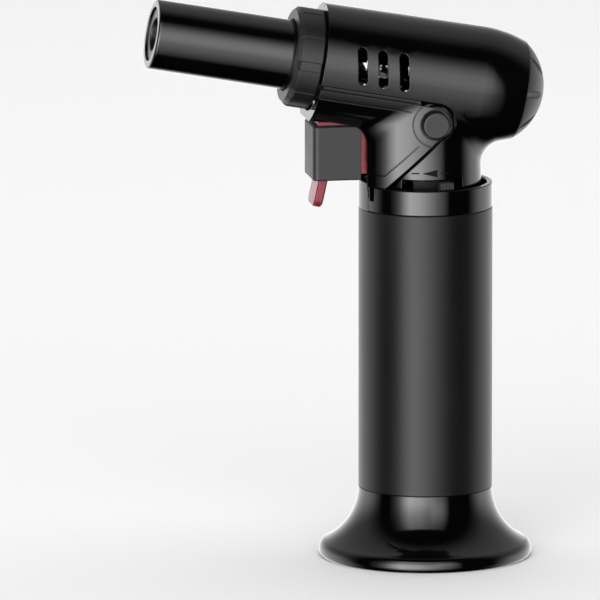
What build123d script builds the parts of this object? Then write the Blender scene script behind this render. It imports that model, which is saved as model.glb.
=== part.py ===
"""Hand-held butane torch: fuel-tank handle on a flared foot, tilted burner head, piezo trigger.

Frame: the origin is the centre of the foot's resting face. +Z is up along the handle, the
nozzle points towards -X, and the side with the lock button is -Y. All sizes are millimetres.
"""

import os
from math import atan, cos, degrees, radians, sin, tan

from build123d import *

os.makedirs("parts", exist_ok=True)

# ---------------------------------------------------------------- driving dimensions
FOOT_R = 34.0                 # widest radius of the foot
FOOT_TOP_Z = 22.4             # where the handle sleeve starts
HANDLE_R = 21.4               # outside radius of the handle sleeve and the collar
SLEEVE_WALL = 1.4
COLLAR_Z = 113.3              # top of the sleeve, bottom of the collar
COLLAR_TOP_Z = 121.3
COLLAR_WALL = 1.8
SPINE_HALF_ANGLE = 20.9       # the strip that closes the front of the collar

BARREL_TILT = 10.3            # degrees that the nozzle points up
BARREL_CROSS_Z = 155.2        # height where the barrel axis crosses the handle axis
BARREL_R = 18.2               # at the front
BARREL_REAR_R = 18.55         # where the tail starts to taper
BARREL_FRONT_S = 36.4         # stations run along the barrel axis, positive to the nozzle
TAPER_S = -16.0
REAR_SEAM_S = -30.3
REAR_SEAM_R = 15.9
DOME_R = 19.3                 # rear cap, a sphere about this station
DOME_S = -19.0
NECK_R = 17.9                 # neck where it leaves the collar
NECK_TOP_R = 17.0
HEAD_FLOOR_Z = COLLAR_Z + 1.2
HOUSING_WALL = 1.9

COVER_DROP = 2.0              # the covers' round sides are centred this far below the barrel
COVER_R = 18.7
COVER_HALF_X = 24.2           # oval plan of the covers round the neck
COVER_HALF_Y = 18.3
COVER_WALL = 1.6
COVER_BOTTOM_Z = 121.5
DIAGONAL = 43.5               # slope of the covers' lower rear edge, degrees
COVER_TOP_V = 6.0             # the covers' upper edge runs this far below the barrel axis
LEDGE_WIDTH = 1.4             # sunk ledge along that edge
LEDGE_DEPTH = 0.8
LEDGE_END_X = -4.6            # behind this the ledge gives way to an open pocket
BEVEL = 1.1                   # along the diagonal edge
GROOVE_INSET = 3.9            # fine lines run this far inside the covers' edges
DIAGONAL_R = 5.3              # distance from the button's centre to the diagonal edge
ARCH_X = -20.7                # wall behind the trigger
ARCH_Z = 142.7                # ceiling over the trigger
ARCH_R = 14.0
SLOT_HALF = 9.4               # half width of the trigger's slot
RECESS_Z = 124.6              # the covers lie in a recess above this height

BUTTON_Z = 142.3              # lock button, on the handle axis seen from the side
BOSS_R = 6.7                  # round end of the recess
RIM_R = 5.4                   # round end of the cover's face, inside it
BUTTON_R = 4.3
BUTTON_FACE_Y = -20.2
BUTTON_HOLE_R = 4.95

TRIGGER_X = (-37.9, -22.5)
TRIGGER_Z = (123.6, 141.1)
TRIGGER_HALF = 8.8
SAFETY_PIVOT = (-31.5, 135.0)
SAFETY_SLANT = 12.5
SAFETY_TIP_Z = 114.1

LEVER_PIVOT = (4.6, 124.6)
LEVER_SWING = 9.55            # degrees over the whole trigger travel
TAIL_X = 8.8                  # where the carriage's ramps press on the valve lever
TAIL_Z = 126.1

RING_R = 16.25                # air ring, over its ribs
RING_FRONT_S = 45.3
NOZZLE_R = 11.2
NOZZLE_WALL = 0.9
NOZZLE_FRONT_S = 90.1
WIRE_R = 9.05                 # radius on which the spark wire runs inside the nozzle
WIRE_SPOT = (-4.0, -8.12)     # over the axis and across, where the wire enters the nozzle
JET_INLET_S = -2.5

TANK_R = 19.8
TANK_FLOOR_Z = 9.0
TANK_TOP_Z = 109.0
LID_TOP_Z = COLLAR_Z
SCREW_CIRCLE = 26.0           # base plate screws
PLATE_Z = (1.2, 3.2)
WELL_R = 9.5                  # well in the base plate round the fill valve
HOSE_FOOT = (-3.5, 11.3, 120.2)

WHEEL_Z = (119.9, 121.4)      # gas adjuster
WHEEL_RIM_TOP_Z = 123.8
TAB_Z = (121.5, 123.6)
TAB_ANGLE = 9.8               # its tab, counted from -Y towards +X
TAB_HALF = 6.2

FRONT_WALL_S = 34.4           # inside face of the head's front wall
MOUNT_BORE_R = 13.25
SCREWS_AT = ((14.0, 163.5), (20.0, 140.5), (-27.05, 148.95), (-24.75, 172.9))
SCREW_HEAD_Y = dict(zip(SCREWS_AT, (11.0, 8.0, 8.0, 6.0)))
POST_HALF_SPAN = 15.6         # the screw posts reach this far from the middle
POST_R = 2.8
VENT_WIDTH = 3.1

# ---------------------------------------------------------------- frames and helpers
_tilt = radians(BARREL_TILT)
FORWARD = Vector(-cos(_tilt), 0, sin(_tilt))
UPWARD = Vector(sin(_tilt), 0, cos(_tilt))
BARREL = Plane(origin=(0, 0, BARREL_CROSS_Z), x_dir=UPWARD, z_dir=FORWARD)
SIDE = Plane(origin=(0, 0, 0), x_dir=(1, 0, 0), z_dir=(0, -1, 0))   # sketches in X and Z


def on_barrel(up, across, station):
    """A point given by its height over the barrel axis, its Y and its station."""
    return Vector(0, across, BARREL_CROSS_Z) + UPWARD * up + FORWARD * station


def axis_z(x):
    """Height of the barrel axis over a given X."""
    return BARREL_CROSS_Z - x * tan(_tilt)


def cyl(r, z0, z1, x=0.0, y=0.0):
    """Upright cylinder between two heights."""
    return Pos(x, y, z0) * Cylinder(r, z1 - z0, align=(Align.CENTER, Align.CENTER, Align.MIN))


def tube(r_out, r_in, z0, z1):
    """Upright tube between two heights."""
    return cyl(r_out, z0, z1) - cyl(r_in, z0 - 1, z1 + 1)


def block(x, y, z):
    """Box between two corners, given as three ranges."""
    middle = [(low + high) / 2 for low, high in (x, y, z)]
    return Pos(*middle) * Box(*[high - low for low, high in (x, y, z)])


def along_y(r, y, x, z):
    """Cylinder along Y over a range."""
    body = Cylinder(r, y[1] - y[0], align=(Align.CENTER, Align.CENTER, Align.MIN))
    return Pos(x, y[0], z) * Rot(-90, 0, 0) * body


def along_x(r, x, y, z):
    """Cylinder along X over a range."""
    body = Cylinder(r, x[1] - x[0], align=(Align.CENTER, Align.CENTER, Align.MIN))
    return Pos(x[0], y, z) * Rot(0, 90, 0) * body


def turned(*edges):
    """Solid of revolution about Z from edges drawn as (radius, z)."""
    return revolve(SIDE * make_face(list(edges)), Axis.Z, 360)


def turned_outline(*points):
    """Solid of revolution about Z from a closed (radius, z) outline."""
    return turned(Polyline(*points, close=True))


def through_y(face, half=40.0):
    """A sketch in X and Z carried through the whole width."""
    return extrude(SIDE * face, half, both=True)


def sector(r_in, r_out, z0, z1, start, stop):
    """Part of a ring between two angles, counted from -X towards -Y."""
    reach = 2 * r_out
    wedge = Polyline(
        (0, 0),
        *[(-reach * cos(radians(start + (stop - start) * i / 4)),
           -reach * sin(radians(start + (stop - start) * i / 4))) for i in range(5)],
        close=True,
    )
    ring = tube(r_out, r_in, z0, z1) if r_in else cyl(r_out, z0, z1)
    return ring & Pos(0, 0, z0) * extrude(make_face(wedge), z1 - z0)


def coil(radius, wire, length, turns):
    """Round-wire compression spring standing on the XY plane."""
    rise = length - 2 * wire
    path = Helix(pitch=rise / turns, height=rise, radius=radius)
    start = Plane(origin=path @ 0, z_dir=path % 0)
    return Pos(0, 0, wire) * sweep(start * Circle(wire), path, is_frenet=True)


def pipe(points, r_out, r_in=0.0):
    """Tube or rod along straight runs joined by the largest tangent arcs that fit."""
    points = [Vector(p) for p in points]
    radii = []
    for before, here, after in zip(points, points[1:], points[2:]):
        arriving = here - before
        leaving = after - here
        half_turn = radians(arriving.get_angle(leaving)) / 2
        radii.append(0.45 * min(arriving.length, leaving.length) / tan(half_turn))
    path = FilletPolyline(*points, radius=radii)
    start = Plane(origin=path @ 0, z_dir=path % 0)
    section = Circle(r_out) - Circle(r_in) if r_in else Circle(r_out)
    return sweep(start * section, path)


def screw(head_r, head_h, shank_r, length):
    """Pan-head screw, head below the XY plane and shank above it, with a cross recess."""
    body = cyl(head_r, -head_h, 0) + cyl(shank_r, 0, length)
    arm = Box(1.3 * head_r, 0.3 * head_r, head_h, align=(Align.CENTER, Align.CENTER, Align.MAX))
    cross = Pos(0, 0, -head_h / 2) * (arm + Rot(0, 0, 90) * arm)
    return body - cross


def half(shape, side):
    """The part of a shape on one side of the middle plane: -1 for -Y, +1 for +Y."""
    seam = 0.04
    span = (seam, 60) if side > 0 else (-60, -seam)
    return shape & block((-120, 80), span, (-10, 260))


def circles(shape):
    """The round edges of a shape."""
    return shape.edges().filter_by(GeomType.CIRCLE)


def largest(shape):
    """The main solid of a boolean result, without stray slivers."""
    return max(shape.solids(), key=lambda s: s.volume)


def keep(name, *solids):
    """Writes one named piece."""
    found = [s for shape in solids for s in shape.solids()]
    for s in found:
        assert s.is_valid, name
    export_step(found[0] if len(found) == 1 else Compound(children=found), f"parts/{name}.step")
    print(name, len(found), round(sum(s.volume for s in found), 1))


# ---------------------------------------------------------------- handle and foot


def at_base_screws():
    """Places of the three base plate screws."""
    return [Rot(0, 0, 90 + 120 * i) * Pos(SCREW_CIRCLE, 0, 0) for i in range(3)]


def foot():
    """Moulded foot: a trumpet flare with a rolled rim, hollow underneath."""
    flare_reach = 21.0
    flare_rise = 20.0
    flare = EllipticalCenterArc(
        (HANDLE_R + flare_reach, FOOT_TOP_Z), flare_reach, flare_rise, start_angle=180, arc_size=60.45
    )
    rim = ThreePointArc(flare @ 1, (FOOT_R - 0.35, 3.6), (FOOT_R, 1.9))
    sole = ThreePointArc((FOOT_R, 1.9), (FOOT_R - 0.3, 0.6), (FOOT_R - 1.0, 0))
    body = turned(flare, rim, sole, Polyline(sole @ 1, (0, 0), (0, FOOT_TOP_Z), flare @ 0))
    hollow = turned_outline(
        (0, -1), (30.8, -1), (30.8, PLATE_Z[1]), (29.3, PLATE_Z[1]), (29.3, 4.2),
        (24.6, 8.6), (21.8, 11.5), (21.8, 7.4), (0, 7.4),
    )
    seat = cyl(17.5, 7, 10) + cyl(TANK_R + 0.05, TANK_FLOOR_Z, FOOT_TOP_Z + 1)
    shell = body - hollow - seat
    for place in at_base_screws():
        shell = shell + (place * cyl(2.7, PLATE_Z[1], 8.2) & body)
    for place in at_base_screws():
        shell = shell - place * cyl(1.0, 0, 6.8)
    return shell


def base_plate():
    """Round plate that closes the foot, with a well round the fill valve."""
    plate = cyl(30.6, *PLATE_Z) + cyl(WELL_R + 1.5, PLATE_Z[0], 8.8)
    plate = chamfer(plate.edges().group_by(Axis.Z)[0], 0.4)
    plate = plate - cyl(WELL_R, 0, 10)
    for place in at_base_screws():
        plate = plate - place * (cyl(2.3, 0, 2.2) + cyl(1.25, 0, 4))
    return plate


def base_screws():
    """Three screws from below through the base plate into the foot."""
    return [place * Pos(0, 0, 2.2) * screw(2.0, 0.9, 0.95, 4.3) for place in at_base_screws()]


def fuel_tank():
    """Deep drawn fuel tank, open at the top, with a hole in its floor for the fill valve."""
    wall = 1.8
    return turned_outline(
        (3.3, TANK_FLOOR_Z), (TANK_R, TANK_FLOOR_Z), (TANK_R, TANK_TOP_Z),
        (TANK_R - wall, TANK_TOP_Z), (TANK_R - wall, TANK_FLOOR_Z + 2.5), (3.3, TANK_FLOOR_Z + 2.5),
    )


def fill_valve_body():
    """Brass fill valve, pushed up through the tank floor, with its mouth in the well."""
    outside = turned_outline(
        (0, 5.6), (3.6, 5.6), (4.0, 6.0), (4.0, 7.4), (5.4, 7.4), (5.4, TANK_FLOOR_Z),
        (3.25, TANK_FLOOR_Z), (3.25, 17.0), (0, 17.0),
    )
    inside = cyl(2.2, 5, 8.7) + cyl(1.3, 8, 11) + cyl(2.4, 10.2, 16) + cyl(1.0, 15, 18)
    return outside - inside


def fill_valve_nut():
    """Hexagon nut that clamps the fill valve inside the tank."""
    nut = extrude(Pos(0, 0, 12.5) * RegularPolygon(5.6, 6), 2.2)
    return nut - cyl(3.3, 12, 15)


def fill_valve_seal():
    """Flat rubber washer under the nut."""
    return tube(5.2, 3.3, TANK_FLOOR_Z + 2.5, 12.5)


def fill_valve_stem():
    """Poppet of the fill valve: the filling nozzle's tip lifts it."""
    return turned_outline(
        (0, 8.9), (0.9, 8.9), (1.1, 9.1), (1.1, 10.25), (2.1, 10.4), (2.1, 11.4), (0.9, 11.4),
        (0.9, 13.0), (0, 13.0),
    )


def fill_valve_spring():
    """Spring over the poppet."""
    return Pos(0, 0, 11.45) * coil(1.6, 0.28, 4.5, 5)


def tank_lid():
    """Lid plugged into the tank: a flange, a grooved boss for the head, a gas nipple."""
    lid = turned_outline(
        (5.1, 103.0), (17.9, 103.0), (17.9, 104.6), (16.6, 104.6), (16.6, 106.6), (17.9, 106.6),
        (17.9, TANK_TOP_Z), (TANK_R, TANK_TOP_Z), (TANK_R, LID_TOP_Z), (13.0, LID_TOP_Z),
        (13.0, LID_TOP_Z + 1.2), (11.6, LID_TOP_Z + 1.2), (11.6, LID_TOP_Z + 3.8),
        (13.0, LID_TOP_Z + 3.8), (13.0, LID_TOP_Z + 5.7), (5.1, LID_TOP_Z + 5.7),
    )
    return lid + cyl(1.15, LID_TOP_Z + 5, HOSE_FOOT[2] + 4, HOSE_FOOT[0], HOSE_FOOT[1])


def tank_seal():
    """Round rubber ring in the lid's groove."""
    ring = turned(CenterArc((17.3, 105.6), 0.68, 0, 360))
    return ring


def pickup_tube():
    """Thin tube with a felt end that takes liquid fuel up to the valve."""
    return turned_outline((0.9, 24), (1.5, 24), (1.5, 101.0), (0.9, 101.0)) + tube(2.6, 0.9, 18, 26)


def handle_sleeve():
    """Anodised aluminium sleeve over the tank, between the foot and the collar."""
    sleeve = tube(HANDLE_R, HANDLE_R - SLEEVE_WALL, FOOT_TOP_Z, COLLAR_Z)
    ends = [e for e in circles(sleeve) if e.radius > HANDLE_R - 0.1]
    return chamfer(ends, 0.25)


def collar():
    """Ring round the foot of the neck, open at the top and at the front."""
    ring = tube(HANDLE_R, HANDLE_R - COLLAR_WALL, COLLAR_Z, COLLAR_TOP_Z)
    ring = ring + tube(HANDLE_R - COLLAR_WALL + 0.1, 13.2, COLLAR_Z, COLLAR_Z + 1.0)
    outer = [e for e in circles(ring) if e.radius > HANDLE_R - 0.1]
    ring = chamfer(outer, 0.25)
    lip = [
        e for e in circles(ring)
        if abs(e.radius - (HANDLE_R - COLLAR_WALL)) < 0.01 and e.center().Z > COLLAR_TOP_Z - 0.1
    ]
    ring = chamfer(lip, 0.3)
    ring = ring - sector(
        HANDLE_R - COLLAR_WALL - 0.05, HANDLE_R + 1, COLLAR_Z - 1, COLLAR_TOP_Z + 1,
        -SPINE_HALF_ANGLE, SPINE_HALF_ANGLE,
    )
    for start, stop in ((22.8, 29.7), (-29.7, -22.8)):
        ring = ring - sector(
            HANDLE_R - COLLAR_WALL - 0.5, HANDLE_R + 1, 116.9, COLLAR_TOP_Z + 1, start, stop
        )
    return largest(ring)


def front_spine():
    """Strip that closes the front of the collar under the trigger."""
    angle = SPINE_HALF_ANGLE - 0.25
    strip = sector(
        HANDLE_R - COLLAR_WALL, HANDLE_R + 0.1, COLLAR_Z, COLLAR_TOP_Z + 1.2, -angle, angle
    )
    return chamfer(strip.edges().group_by(Axis.Z)[-1], 0.3)


# ---------------------------------------------------------------- gas valve and adjuster


def gas_valve_body():
    """Brass gas valve in the middle of the lid."""
    outside = turned_outline(
        (0, 101.2), (6.8, 101.2), (6.8, 102.95), (5.05, 102.95), (5.05, LID_TOP_Z + 5.2),
        (4.7, LID_TOP_Z + 5.5), (4.7, 122.4), (0, 122.4),
    )
    inside = cyl(1.55, 100, 104) + cyl(3.2, 104, 119) + cyl(1.65, 118, 123)
    return outside - inside


def gas_valve_stem():
    """Valve stem: the lever's fork lifts it by the collar near its top."""
    return turned_outline(
        (0, 106.0), (1.0, 106.0), (1.0, 109.6), (2.9, 109.6), (2.9, 111.0), (1.5, 111.0),
        (1.5, 126.5), (3.2, 126.5), (3.2, 127.5), (1.5, 127.5), (1.3, 128.6), (0, 128.6),
    )


def gas_valve_spring():
    """Spring that keeps the valve shut."""
    return Pos(0, 0, 111.05) * coil(2.2, 0.35, 7.8, 6)


def gas_adjust_wheel():
    """Gas adjuster: a hub on the valve, a fan, a rim seen in the window, a ribbed tab."""
    start = 90 - 25.0
    stop = 90 + 26.0
    rim_r = 15.7
    tab_r = 20.2
    hub = tube(7.6, 4.78, LID_TOP_Z + 5.75, WHEEL_Z[1])
    fan = sector(6.8, rim_r, WHEEL_Z[0], WHEEL_Z[1], start, stop)
    for angle in (start + 14.5, stop - 14.5):
        centre = (-11.6 * cos(radians(angle)), -11.6 * sin(radians(angle)))
        fan = fan - cyl(2.0, WHEEL_Z[0] - 1, WHEEL_Z[1] + 1, *centre)
    rim = sector(rim_r - 1.0, rim_r, WHEEL_Z[0], WHEEL_RIM_TOP_Z, start, stop)
    tab_span = (90 + TAB_ANGLE - TAB_HALF, 90 + TAB_ANGLE + TAB_HALF)
    tab = sector(rim_r - 1.0, tab_r, *TAB_Z, *tab_span)
    post = sector(rim_r - 1.0, 17.2, WHEEL_Z[0], TAB_Z[1], *tab_span)
    grooves = 3
    for i in range(grooves):
        angle = radians(90 + TAB_ANGLE + TAB_HALF * (2 * (i + 1) / (grooves + 1) - 1))
        spot = (-tab_r * cos(angle), -tab_r * sin(angle))
        tab = tab - cyl(0.42, TAB_Z[0] - 1, TAB_Z[1] + 1, *spot)
    return hub + fan + rim + tab + post


def valve_lever():
    """Rocker: the carriage's ramps press its tail down and its fork lifts the stem."""
    px, pz = LEVER_PIVOT
    hub = along_y(1.8, (-4.6, 4.6), px, pz)
    fork = block((-2.2, px), (-3.4, 3.4), (125.0, 126.4))
    fork = fork + block((px - 1.6, px), (-3.4, 3.4), (pz, 126.4))
    fork = fork - block((-3, 2.1), (-1.75, 1.75), (124, 128))
    web = block((px, TAIL_X - 0.6), (-4.6, 4.6), (TAIL_Z - 1.4, TAIL_Z + 0.3))
    bar = block((TAIL_X - 1.6, TAIL_X), (-6.6, 6.6), (TAIL_Z - 0.8, TAIL_Z + 0.4))
    tail = along_y(0.9, (-6.6, 6.6), TAIL_X, TAIL_Z)
    lever = hub + fork + web + bar + tail
    return lever - along_y(0.95, (-10, 10), px, pz)


def lever_pin():
    """Steel pin of the valve lever, trapped between the housing halves."""
    return along_y(0.9, (-8.6, 8.6), *LEVER_PIVOT)


# ---------------------------------------------------------------- head envelopes
def barrel_body(inset, front=BARREL_FRONT_S):
    """The barrel turned about its own axis, shrunk by an inset."""
    nose = (BARREL_R - inset, front)
    widest = (BARREL_REAR_R - inset, TAPER_S)
    tail = (REAR_SEAM_R - inset, REAR_SEAM_S)
    straight = Line(nose, widest)
    taper = TangentArc(widest, tail, tangent=straight % 1)
    ends = Polyline(tail, (0, REAR_SEAM_S), (0, front), nose)
    return BARREL * turned(straight, taper, ends)


def neck_body(inset):
    """The neck, a slight cone about the handle axis, up to the middle of the barrel."""
    return turned_outline(
        (0, HEAD_FLOOR_Z), (NECK_R - inset, HEAD_FLOOR_Z), (NECK_R - inset, COLLAR_TOP_Z),
        (NECK_TOP_R - inset, 149.5), (0, 150.0),
    )


def core(inset, front=BARREL_FRONT_S):
    """Barrel and neck together."""
    return barrel_body(inset, front) + neck_body(inset)


def core_outside():
    """Barrel and neck with the moulded fillet where they meet."""
    body = core(0)
    meeting = [
        e for e in body.edges()
        if e.length > 60 and 130 < e.bounding_box().min.Z and e.bounding_box().max.Z < 152
    ]
    return fillet(meeting, 7.0)


def envelope(inset):
    """Outside of the two covers before they are trimmed: oval below, round along the barrel."""
    plan = Ellipse(COVER_HALF_X - inset, COVER_HALF_Y - inset)
    post = Pos(0, 0, COVER_BOTTOM_Z) * extrude(plan, 150 - COVER_BOTTOM_Z)
    round_side = BARREL * Pos(-COVER_DROP, 0, -24) * Cylinder(
        COVER_R - inset, BARREL_FRONT_S - inset + 24, align=(Align.CENTER, Align.CENTER, Align.MIN)
    )
    body = post + round_side
    meeting = [
        e for e in body.edges()
        if e.length > 80 and 126 < e.bounding_box().min.Z and e.bounding_box().max.Z < 152
    ]
    return fillet(meeting, 8.0 + inset)


def cover_outline(drop=0.0, end_r=BOSS_R):
    """Side view of a cover before the trigger's arch is cut: a lowered upper edge, a round end
    about the button, and the diagonal down to the collar."""
    top_v = COVER_TOP_V + drop
    far = on_barrel(-top_v, 0, BARREL_FRONT_S + 6)
    meet = on_barrel(-top_v, 0, -(BARREL_CROSS_Z - BUTTON_Z) * sin(_tilt))
    slope = radians(DIAGONAL)
    touch = Vector(sin(slope), BUTTON_Z / DIAGONAL_R - cos(slope)) * DIAGONAL_R
    run = (touch.Y - COVER_BOTTOM_Z) / sin(slope)
    low = Vector(touch.X - run * cos(slope), COVER_BOTTOM_Z)
    along = Vector(cos(slope), sin(slope)) * 20
    outline = Polyline(
        (far.X, far.Z), (meet.X, meet.Z), (0, BUTTON_Z), touch, low, (-60, COVER_BOTTOM_Z),
        (-60, far.Z), close=True,
    )
    far_up = touch + along
    beyond = Polyline(low, far_up, (60, far_up.Y), (60, 60), (low.X, 60), close=True)
    face = make_face(outline) + Pos(0, BUTTON_Z) * Circle(end_r)
    return face - make_face(beyond)


def cover_face(grow=0.0):
    """Side view of a cover, with the arch over the trigger cut out."""
    face = cover_outline()
    if grow:
        face = offset(face, grow)
    void = Pos(ARCH_X - 30 - grow, (ARCH_Z - grow + 100) / 2) * Rectangle(60, ARCH_Z - grow - 100)
    corner = void.vertices().sort_by(Axis.X)[-2:].sort_by(Axis.Y)[-1]
    return face - fillet(corner, ARCH_R + grow)


def vent_slots():
    """Three upright slots on each side of the barrel."""
    body = None
    for x in (-23.5, -16.9, -10.1):
        low = axis_z(x) - 3.75
        high = axis_z(x) + 8.3
        slot = Pos(x, (low + high) / 2) * SlotOverall(high - low, VENT_WIDTH, rotation=90)
        cut = through_y(slot)
        body = cut if body is None else body + cut
    return body


# ---------------------------------------------------------------- head housing


def housing():
    """Both halves in one, before they are parted along the middle plane."""
    above = block((-80, 60), (-40, 40), (RECESS_Z, 220))
    recess = through_y(cover_face(0.15)) & above
    shell = core_outside() - core(HOUSING_WALL, FRONT_WALL_S)
    skin = (core(COVER_WALL + 0.15, FRONT_WALL_S + 0.3) - core(COVER_WALL + 1.7, FRONT_WALL_S))
    skin = skin & through_y(cover_face(1.6)) & block((-80, 60), (-40, 40), (RECESS_Z - 0.55, 220))
    shell = (shell - recess) + skin
    shell = shell + BARREL * (
        Pos(0, 0, 30.4) * Cylinder(16.2, 1.8, align=(Align.CENTER, Align.CENTER, Align.MIN))
        - Cylinder(13.2, 100)
    )
    shell = shell + tube(16.2, 12.1, LID_TOP_Z + 1.4, LID_TOP_Z + 3.6)
    for side in (-1, 1):
        shell = shell + block((2.6, 6.6), sorted((side * 12.7, side * 7.2)), (123.5, 126.6))
        wing = block((2.6, 6.6), sorted((side * 17, side * 7.2)), (124.5, 126.6))
        shell = shell + (wing & core(1.0))
    for y in ((-14.0, -4.25), (4.25, 14.0)):
        shell = shell + (block((10.0, 12.5), y, (131.8, 136.5)) & core(1.0))
    shell = shell + (along_y(7.2, (-16, -8.7), 0, BUTTON_Z) & core(COVER_WALL + 0.15))
    shell = shell - along_y(5.95, (-20, -13.3), 0, BUTTON_Z) - along_y(2.7, (-14, -9.9), 0, BUTTON_Z)
    shell = shell - along_y(0.93, (-8.8, 8.8), *LEVER_PIVOT)
    shell = shell - BARREL * Cylinder(MOUNT_BORE_R, 200)
    for x, z in SCREWS_AT:
        post = along_y(POST_R, (-POST_HALF_SPAN, POST_HALF_SPAN), x, z)
        shell = shell + (post & core(1.0))
    shell = shell - vent_slots()
    shell = shell - block((-45, -8), (-SLOT_HALF, SLOT_HALF), (122.8, 142.9))
    window = sector(15.0, 25, 119.4, 124.4, 90 - 35.5, 90 + 31.0)
    return shell - window


def housing_left(head):
    """Half of the head on the lock button's side, with blind screw holes."""
    part = half(head, -1)
    for x, z in SCREWS_AT:
        part = part - along_y(1.02, (-9.0, 1), x, z)
    return largest(part)


def housing_right(head):
    """Other half of the head, with through holes and sunk screw heads."""
    part = half(head, 1)
    for x, z in SCREWS_AT:
        part = part - along_y(1.3, (-1, 40), x, z) - along_y(2.2, (SCREW_HEAD_Y[(x, z)], 40), x, z)
    return largest(part)


def housing_screws():
    """Four screws that hold the halves together, entered from +Y."""
    return [
        Pos(x, head_y, z) * Rot(90, 0, 0) * screw(2.0, 1.4, 0.98, head_y + 7.5)
        for (x, z), head_y in SCREW_HEAD_Y.items()
    ]


def cover(side):
    """Side cover in its recess, round at the button; only the left one has the button's hole."""
    below = block((-80, 60), (-40, 40), (0, RECESS_Z + 0.15))
    above = block((-80, 60), (-40, 40), (RECESS_Z + 0.15, 220))
    whole = through_y(cover_face())
    plate = through_y(cover_face() & cover_outline(LEDGE_WIDTH, RIM_R))
    ledge = whole & block((-80, LEDGE_END_X), (-40, 40), (100, 220))
    body = (envelope(0) & plate) + (envelope(LEDGE_DEPTH) & ledge)
    front_trim = BARREL * Pos(0, 0, BARREL_FRONT_S) * Cylinder(
        40, 60, align=(Align.CENTER, Align.CENTER, Align.MIN)
    )
    body = body - front_trim
    hollow = envelope(COVER_WALL) & through_y(cover_face(-1.5))
    inner = (core(COVER_WALL, 60) & above) + (core(-0.12, 60) & below)
    body = bevel_diagonal(half(body - inner - hollow, 1))
    if side < 0:
        body = mirror(body, about=Plane.XZ)
    body = body - cover_grooves(side)
    if side < 0:
        body = body - along_y(BUTTON_HOLE_R, (-30, -10), 0, BUTTON_Z)
        body = body - along_y(5.9, (-16.5, -10), 0, BUTTON_Z)
    else:
        ring = along_y(BUTTON_HOLE_R, (17.7, 30), 0, BUTTON_Z)
        ring = ring - along_y(BUTTON_R, (10, 40), 0, BUTTON_Z)
        body = body - ring
    body = body - block((-60, -8), (-SLOT_HALF, SLOT_HALF), (110, 142.9))
    return largest(body)


def bevel_diagonal(body):
    """Bevel along the outer edge of the diagonal, on the +Y side."""
    slope = radians(DIAGONAL)
    normal = Vector(sin(slope), 0, -cos(slope))
    edges = []
    for e in body.edges():
        middle = e @ 0.5
        height = (middle - Vector(0, 0, BUTTON_Z)).dot(normal)
        if abs(height - DIAGONAL_R) < 0.01 and e.length > 8 and middle.Y > 10:
            edges.append(e)
    outer = max(edges, key=lambda e: (e @ 0.5).Y)
    return chamfer([outer], BEVEL)


def cover_grooves(side):
    """Fine moulded lines: along the upper, front and diagonal edges, and round the button."""
    width = 0.35
    depth = 0.4
    outer = offset(cover_outline(), -GROOVE_INSET)
    lines = outer - offset(outer, -width)
    button_ring = Pos(0, BUTTON_Z) * (Circle(BOSS_R + 0.7) - Circle(BOSS_R + 0.7 - width))
    left_only = Pos(-30, BUTTON_Z) * Rectangle(60, 40)
    clear_of_button = Pos(0, BUTTON_Z) * Circle(BOSS_R + 2.0)
    face = (lines - clear_of_button) + (button_ring & left_only)
    face = face & offset(cover_outline(LEDGE_WIDTH, RIM_R), -0.4)
    return half(through_y(face), side) - envelope(depth)


def lock_button():
    """Round push button with a retaining flange and a guide stem."""
    cap = along_y(BUTTON_R, (BUTTON_FACE_Y, -16.2), 0, BUTTON_Z)
    face = sorted(cap.edges(), key=lambda e: e.center().Y)[0]
    cap = fillet([face], 0.5)
    flange = along_y(5.6, (-16.3, -15.5), 0, BUTTON_Z)
    return cap + flange + along_y(1.3, (-15.6, -12.6), 0, BUTTON_Z)


def lock_button_spring():
    """Spring under the lock button."""
    return Pos(0, -9.95, BUTTON_Z) * Rot(90, 0, 0) * coil(1.9, 0.3, 5.5, 5)


def rear_cap():
    """Domed end cap with grooves that fade towards its middle, plugged into the barrel."""
    ball = BARREL * Pos(0, 0, DOME_S) * Sphere(DOME_R)
    cut = BARREL * Pos(0, 0, REAR_SEAM_S - 0.15) * Cylinder(
        30, 60, align=(Align.CENTER, Align.CENTER, Align.MIN)
    )
    dome = ball - cut
    plug = BARREL * Pos(0, 0, REAR_SEAM_S - 0.2) * Cylinder(
        REAR_SEAM_R - HOUSING_WALL - 0.1, 3.4, align=(Align.CENTER, Align.CENTER, Align.MIN)
    )
    plug_bore = REAR_SEAM_R - HOUSING_WALL - 1.6
    hollow = Pos(0, 0, DOME_S) * Sphere(DOME_R - 1.8) & Pos(0, 0, REAR_SEAM_S - 20) * Cylinder(
        plug_bore, 30, align=(Align.CENTER, Align.CENTER, Align.MIN)
    )
    opening = Pos(0, 0, REAR_SEAM_S - 0.2) * Cylinder(
        plug_bore, 6, align=(Align.CENTER, Align.CENTER, Align.MIN)
    )
    cap = dome + plug - BARREL * hollow - BARREL * opening
    grooves = 8
    bead = Cylinder(1.5, 14)
    lean = 43.0                 # degrees from the cap's middle to the middle of a groove
    lift = 0.55                 # how far the bead's axis lies outside the dome
    out = DOME_R * sin(radians(lean)) + lift
    back = DOME_S - DOME_R * cos(radians(lean)) - lift
    for i in range(grooves):
        place = Rot(0, 0, 94 + 360 / grooves * i) * Pos(out, 0, back)
        cap = cap - BARREL * place * Rot(0, -90 - lean, 0) * bead
    return largest(cap)


# ---------------------------------------------------------------- trigger group
def rounded_block(x, y, z, r):
    """Box with rounded upright edges at its front."""
    body = block(x, y, z)
    front = body.edges().filter_by(Axis.Z).group_by(Axis.X)[0]
    return fillet(front, r)


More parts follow.
